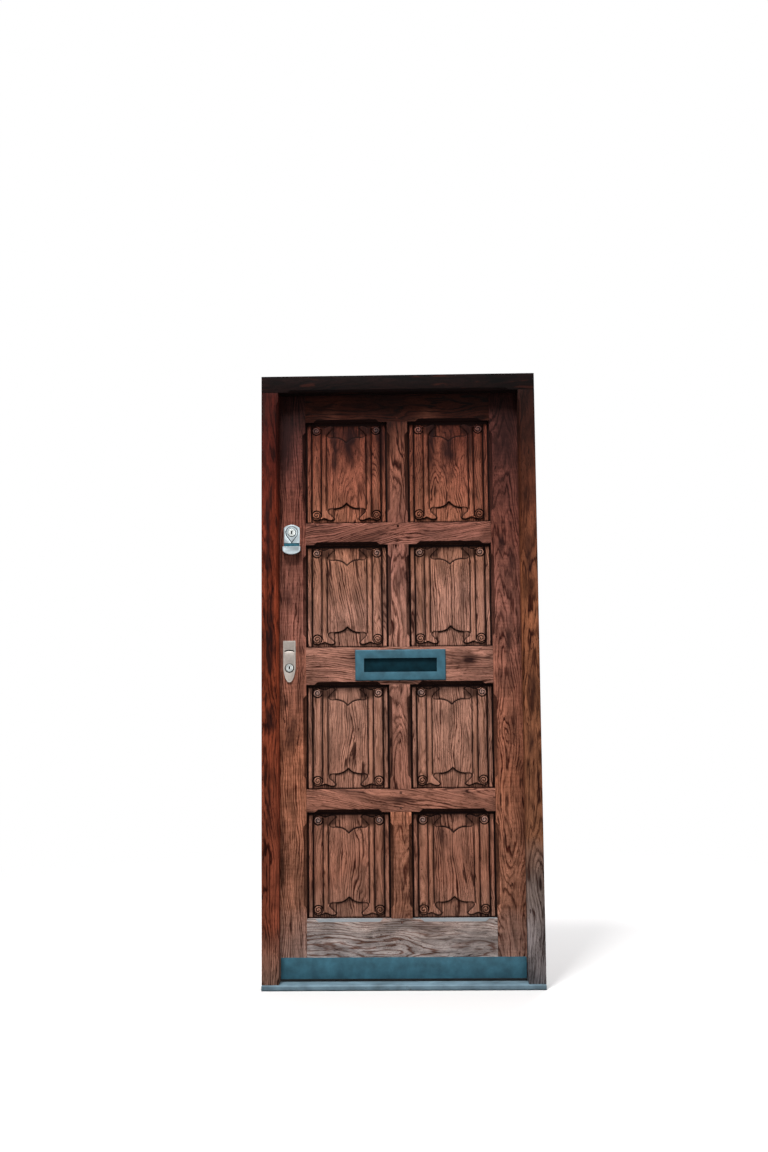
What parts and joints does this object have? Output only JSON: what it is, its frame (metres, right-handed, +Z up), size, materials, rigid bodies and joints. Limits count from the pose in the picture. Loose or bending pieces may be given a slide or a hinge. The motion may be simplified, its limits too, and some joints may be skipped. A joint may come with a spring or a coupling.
{
  "type": "panelled front door with its frame",
  "caption": "Oak front door with linenfold panels in a rebated oak frame with a sill, with hinges, letter plate, kick plate, night latch and deadlock.",
  "frame": {"origin": "centre of the underside of the sill, in the middle of the frame's depth", "axes": "+Z up, -Y towards the outside of the house, +X towards the hinges"},
  "size_m": [0.934, 0.144, 2.056],
  "materials": {
    "frame_oak": "weathered",
    "leaf_oak": "weathered",
    "panel_oak": "weathered",
    "painted_sill": "weathered",
    "teal_plate": "satin",
    "steel_hinge": "satin",
    "chromed_lock": "satin",
    "grey_lock": "satin",
    "lock_steel": "satin",
    "key_brass": "satin",
    "latch_enamel": "satin",
    "inner_brass": "satin"
  },
  "bodies": {
    "frame": {"lock_jamb": "frame_oak", "hinge_jamb": "frame_oak", "frame_head": "frame_oak", "threshold": "painted_sill", "jamb_hinge_flaps": "steel_hinge", "latch_keep": "latch_enamel", "deadlock_strike": "lock_steel"},
    "leaf": {"bottom_rail": "leaf_oak", "cylinder_pull": "chromed_lock", "deadlock_case": "lock_steel", "deadlock_cover": "grey_lock", "deadlock_faceplate": "lock_steel", "hinge_stile": "leaf_oak", "inner_letter_frame": "inner_brass", "joint_pegs": "leaf_oak", "key_cylinders": "lock_steel", "kick_plate": "teal_plate", "latch_case": "latch_enamel", "leaf_hinge_flaps": "steel_hinge", "letter_plate": "teal_plate", "linenfold_panel_bottom_left": "panel_oak", "linenfold_panel_bottom_right": "panel_oak", "linenfold_panel_lower_left": "panel_oak", "linenfold_panel_lower_right": "panel_oak", "linenfold_panel_top_left": "panel_oak", "linenfold_panel_top_right": "panel_oak", "linenfold_panel_upper_left": "panel_oak", "linenfold_panel_upper_right": "panel_oak", "lock_rail": "leaf_oak", "lock_stile": "leaf_oak", "lower_rail": "leaf_oak", "muntin_bottom": "leaf_oak", "muntin_lower": "leaf_oak", "muntin_top": "leaf_oak", "muntin_upper": "leaf_oak", "thumb_turn_plate": "inner_brass", "top_rail": "leaf_oak", "upper_rail": "leaf_oak"},
    "letter_flap": {"letter_flap": "teal_plate"},
    "latch_key_plug": {"latch_key_plug": "key_brass"},
    "latch_bolt": {"latch_bolt": "inner_brass"},
    "latch_knob": {"latch_knob": "inner_brass"},
    "latch_snib": {"latch_snib": "inner_brass"},
    "deadbolt": {"deadbolt": "lock_steel"},
    "deadlock_key_plug": {"deadlock_key_plug": "key_brass"},
    "thumb_turn": {"thumb_turn": "inner_brass"}
  },
  "joints": [
    {"name": "door_swing", "type": "hinge", "parent": "frame", "child": "leaf", "pos_m": [0.4205, 0.0525, 1], "axis": [0, 0, -1], "range_deg": [0, 110]},
    {"name": "letter_flap_turn", "type": "hinge", "parent": "leaf", "child": "letter_flap", "pos_m": [0, 0.007, 1.09], "axis": [1, 0, 0], "range_deg": [0, 85], "stiffness_Nm_per_rad": 0.05, "springref_deg": -17.19},
    {"name": "latch_knob_turn", "type": "hinge", "parent": "leaf", "child": "latch_knob", "pos_m": [-0.357, 0.0725, 1.521], "axis": [0, 1, 0], "range_deg": [0, 60]},
    {"name": "latch_bolt_slide", "type": "slide", "parent": "leaf", "child": "latch_bolt", "axis": [-1, 0, 0], "range_m": [0, 0.013]},
    {"name": "latch_snib_slide", "type": "slide", "parent": "leaf", "child": "latch_snib", "axis": [0, 0, -1], "range_m": [0, 0.008]},
    {"name": "latch_key_plug_turn", "type": "hinge", "parent": "leaf", "child": "latch_key_plug", "pos_m": [-0.3685, 0, 1.521], "axis": [0, 1, 0], "range_deg": [0, 90]},
    {"name": "thumb_turn_turn", "type": "hinge", "parent": "leaf", "child": "thumb_turn", "pos_m": [-0.3775, 0.0505, 1.058], "axis": [0, 1, 0], "range_deg": [0, 90]},
    {"name": "deadbolt_slide", "type": "slide", "parent": "leaf", "child": "deadbolt", "axis": [-1, 0, 0], "range_m": [0, 0.016]},
    {"name": "deadlock_key_plug_turn", "type": "hinge", "parent": "leaf", "child": "deadlock_key_plug", "pos_m": [-0.3775, 0, 1.058], "axis": [0, 1, 0], "range_deg": [0, 90]}
  ],
  "couplings": [
    {"joint": "latch_knob_turn", "follows": "latch_bolt_slide", "rad_per_m": 78},
    {"joint": "thumb_turn_turn", "follows": "deadbolt_slide", "rad_per_m": 95},
    {"joint": "deadlock_key_plug_turn", "follows": "deadbolt_slide", "rad_per_m": 95}
  ]
}
